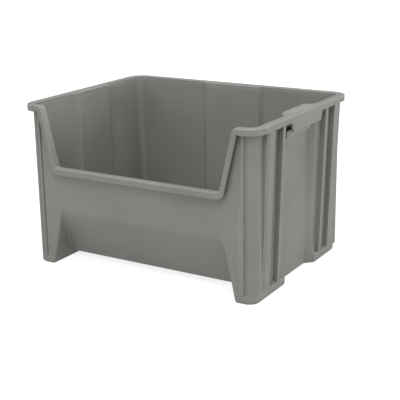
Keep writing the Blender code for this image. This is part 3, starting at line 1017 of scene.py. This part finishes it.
# Tones are factors on the plastic's own colour
CLOUD_TONES = (0.94, 1.06)
DIRT_TONE = 0.8
DIRT_BAND = (0.3, 0.75)
DIRT_MOST = 0.10
# Edges are lightened by pointiness: partly real wear, partly a painted highlight along the rounded edges
WORN_AND_HIGHLIT_TONE = 1.8
WORN_AND_HIGHLIT_POINTINESS = (0.51, 0.57)  # from the first lightened edge to a fully lightened one; the lightening is partly wear and partly a painted highlight
WORN_AND_HIGHLIT_LEAST = 0.4                # share of the edge lightening (wear and painted highlight) that is left between the patches
PATCH_BAND = (0.3, 0.7)
PATCH_ROUGHNESS = (-0.03, 0.04)
CLOUD_ROUGHNESS = (-0.02, 0.02)
PLASTIC_SURFACE = {"IOR": 1.49, "Specular IOR Level": 0.42, "Sheen Weight": 0.03, "Sheen Roughness": 0.4}
PLASTIC_BUMP = {"Strength": 0.10, "Distance": 0.3 * MM}
GRAIN_SHARE = 0.6  # of the bump's height, and the rest is mottle


def plastic(name, colour, roughness, wear_and_highlight):
    """Matte moulded polypropylene: faint flow clouds, fine grain, and lighter edges that are partly wear and
    partly a painted highlight.
    """
    material = bpy.data.materials.new(name)
    material.use_nodes = True
    tree = material.node_tree
    shader = tree.nodes["Principled BSDF"]
    position = add_node(tree, "ShaderNodeTexCoord").outputs["Object"]
    clouds = noise(tree, position, *CLOUDS)
    mottle = noise(tree, position, *MOTTLE)
    grain = noise(tree, position, *GRAIN)

    darker, lighter = [shade(colour, tone) for tone in CLOUD_TONES]
    base = mix_colour(tree, ramp(tree, clouds, *NOISE_BAND, 0.0, 1.0), darker, lighter)
    dirt = ramp(tree, mottle, *DIRT_BAND, 0.0, DIRT_MOST)
    dirty = mix_colour(tree, dirt, base, shade(colour, DIRT_TONE))
    # Lighter edges by pointiness: partly wear, partly a painted highlight
    pointed = add_node(tree, "ShaderNodeNewGeometry").outputs["Pointiness"]
    edges = ramp(tree, pointed, *WORN_AND_HIGHLIT_POINTINESS, 0.0, wear_and_highlight)
    worn_and_highlit = math_node(tree, "MULTIPLY", edges, ramp(tree, mottle, *NOISE_BAND, WORN_AND_HIGHLIT_LEAST, 1.0))
    link(tree, mix_colour(tree, worn_and_highlit, dirty, shade(colour, WORN_AND_HIGHLIT_TONE)), shader.inputs["Base Color"])

    smoothest, roughest = [roughness + change for change in PATCH_ROUGHNESS]
    patches = ramp(tree, mottle, *PATCH_BAND, smoothest, roughest)
    drift = ramp(tree, clouds, *NOISE_BAND, *CLOUD_ROUGHNESS)
    link(tree, math_node(tree, "ADD", patches, drift), shader.inputs["Roughness"])
    set_inputs(shader, PLASTIC_SURFACE)

    bump = add_node(tree, "ShaderNodeBump")
    set_inputs(bump, PLASTIC_BUMP)
    fine = math_node(tree, "MULTIPLY", grain, GRAIN_SHARE)
    coarse = math_node(tree, "MULTIPLY", mottle, 1 - GRAIN_SHARE)
    link(tree, math_node(tree, "ADD", fine, coarse), bump.inputs["Height"])
    link(tree, bump.outputs["Normal"], shader.inputs["Normal"])
    return material


GREY = (0.200, 0.197, 0.184)
RIM_GREY = tuple(c * 0.90 for c in GREY)


def add_bin():
    # The last argument sets how much the edges lighten: partly wear, partly a painted highlight, strongest on
    # the rim
    walls = plastic("grey_wall_plastic", GREY, roughness=0.50, wear_and_highlight=0.35)
    base = plastic("grey_base_plastic", GREY, roughness=0.52, wear_and_highlight=0.15)
    rim = plastic("grey_rim_plastic", RIM_GREY, roughness=0.44, wear_and_highlight=0.9)
    add_walls(walls)
    add_front_panel(walls)
    add_rim(rim)
    add_floor_pan(base)
    add_feet(base)
    add_pads(rim)
    add_ledges(walls)


# Ground, light and camera


GROUND_TONES = [(tone, tone, tone, 1.0) for tone in (0.34, 0.36)]
GROUND_CLOUDS = (3.0, 2.0, 0.5)
GROUND_SURFACE = {"Roughness": 0.9, "Specular IOR Level": 0.1, "Emission Color": (1.0, 1.0, 1.0, 1.0)}
GROUND_HALF = 5.0
GROUND_DROP = 0.2 * MM   # the ground lies this far under the feet
GLOW_RADII = (0.5, 1.5)  # the ground's glow grows between these distances from the bin's middle
GLOW_NEAR = 0.80
GLOW_SHARE = 0.46        # share of the glow that lights the bin


def add_ground():
    """White ground that shows the bin's soft shadow."""
    material = bpy.data.materials.new("pale_floor")
    material.use_nodes = True
    tree = material.node_tree
    shader = tree.nodes["Principled BSDF"]
    position = add_node(tree, "ShaderNodeTexCoord").outputs["Object"]
    tone = ramp(tree, noise(tree, position, *GROUND_CLOUDS), *PATCH_BAND, 0.0, 1.0)
    link(tree, mix_colour(tree, tone, *GROUND_TONES), shader.inputs["Base Color"])
    set_inputs(shader, GROUND_SURFACE)
    distance = add_node(tree, "ShaderNodeVectorMath", operation="LENGTH")
    link(tree, position, distance.inputs[0])
    glow = ramp(tree, distance.outputs["Value"], *GLOW_RADII, GLOW_NEAR, 1.0)
    strength = math_node(tree, "MULTIPLY", glow, camera_share(tree, GLOW_SHARE))
    link(tree, strength, shader.inputs["Emission Strength"])
    form = bmesh.new()
    bmesh.ops.create_grid(form, x_segments=1, y_segments=1, size=GROUND_HALF)
    mesh = bpy.data.meshes.new("ground")
    form.to_mesh(mesh)
    form.free()
    mesh.materials.append(material)
    ground = bpy.data.objects.new("ground", mesh)
    ground.location.z = -GROUND_DROP
    bpy.context.scene.collection.objects.link(ground)


def add_area_light(name, place, target, size, power):
    data = bpy.data.lights.new(name, "AREA")
    data.shape = "DISK"
    data.size = size
    data.energy = power
    light = bpy.data.objects.new(name, data)
    light.location = place
    light.rotation_mode = "QUATERNION"
    light.rotation_quaternion = (Vector(target) - Vector(place)).to_track_quat("-Z", "Y")
    bpy.context.scene.collection.objects.link(light)


AMBIENT = 0.27  # the world's strength for all rays but the camera's, which see white
LIGHT_TARGET = (0.0, 0.0, 0.15)
LIGHTS = [  # (name, place, size, power)
    ("front_left", (-0.5, -2.4, 1.0), 1.2, 9.0),
    ("front_right", (0.8, -2.3, 1.3), 1.2, 6.0),
    ("right_key", (2.4, 0.2, 1.0), 1.2, 18.0),
    ("high_fill", (0.7, -1.5, 2.2), 1.0, 24.0),
    ("left_fill", (-1.8, -1.0, 1.6), 1.2, 9.0),
    ("back_fill", (1.6, 2.2, 0.9), 1.2, 20.0),
    ("overhead", (0.0, -0.1, 2.2), 1.6, 34.0),
]


def add_lights():
    world = bpy.data.worlds.new("studio")
    world.use_nodes = True
    tree = world.node_tree
    background = tree.nodes["Background"]
    background.inputs["Color"].default_value = (1.0, 1.0, 1.0, 1.0)
    link(tree, camera_share(tree, AMBIENT), background.inputs["Strength"])
    bpy.context.scene.world = world
    for name, place, size, power in LIGHTS:
        add_area_light(name, place, LIGHT_TARGET, size, power)
    scene = bpy.context.scene
    scene.view_settings.view_transform = "Standard"
    scene.view_settings.look = "None"


CAMERA_PLACE = (0.9474, -1.5228, 0.6501)
CAMERA_YAW = math.radians(31.24)
CAMERA_PITCH = math.radians(16.76)
CAMERA_ROLL = math.radians(-0.84)
CAMERA_LENS = 85.06
SENSOR_WIDTH = 36.0


def add_camera():
    """Camera at the photo's viewing angle, without shift."""
    data = bpy.data.cameras.new("camera")
    data.lens = CAMERA_LENS
    data.sensor_width = SENSOR_WIDTH
    camera = bpy.data.objects.new("camera", data)
    turn = Matrix.Rotation(CAMERA_YAW, 4, "Z") @ Matrix.Rotation(math.pi / 2 - CAMERA_PITCH, 4, "X")
    turn = turn @ Matrix.Rotation(CAMERA_ROLL, 4, "Z")
    camera.matrix_world = Matrix.Translation(CAMERA_PLACE) @ turn
    bpy.context.scene.collection.objects.link(camera)
    bpy.context.scene.camera = camera


add_bin()
add_ground()
add_lights()
add_camera()
bpy.context.view_layer.update()
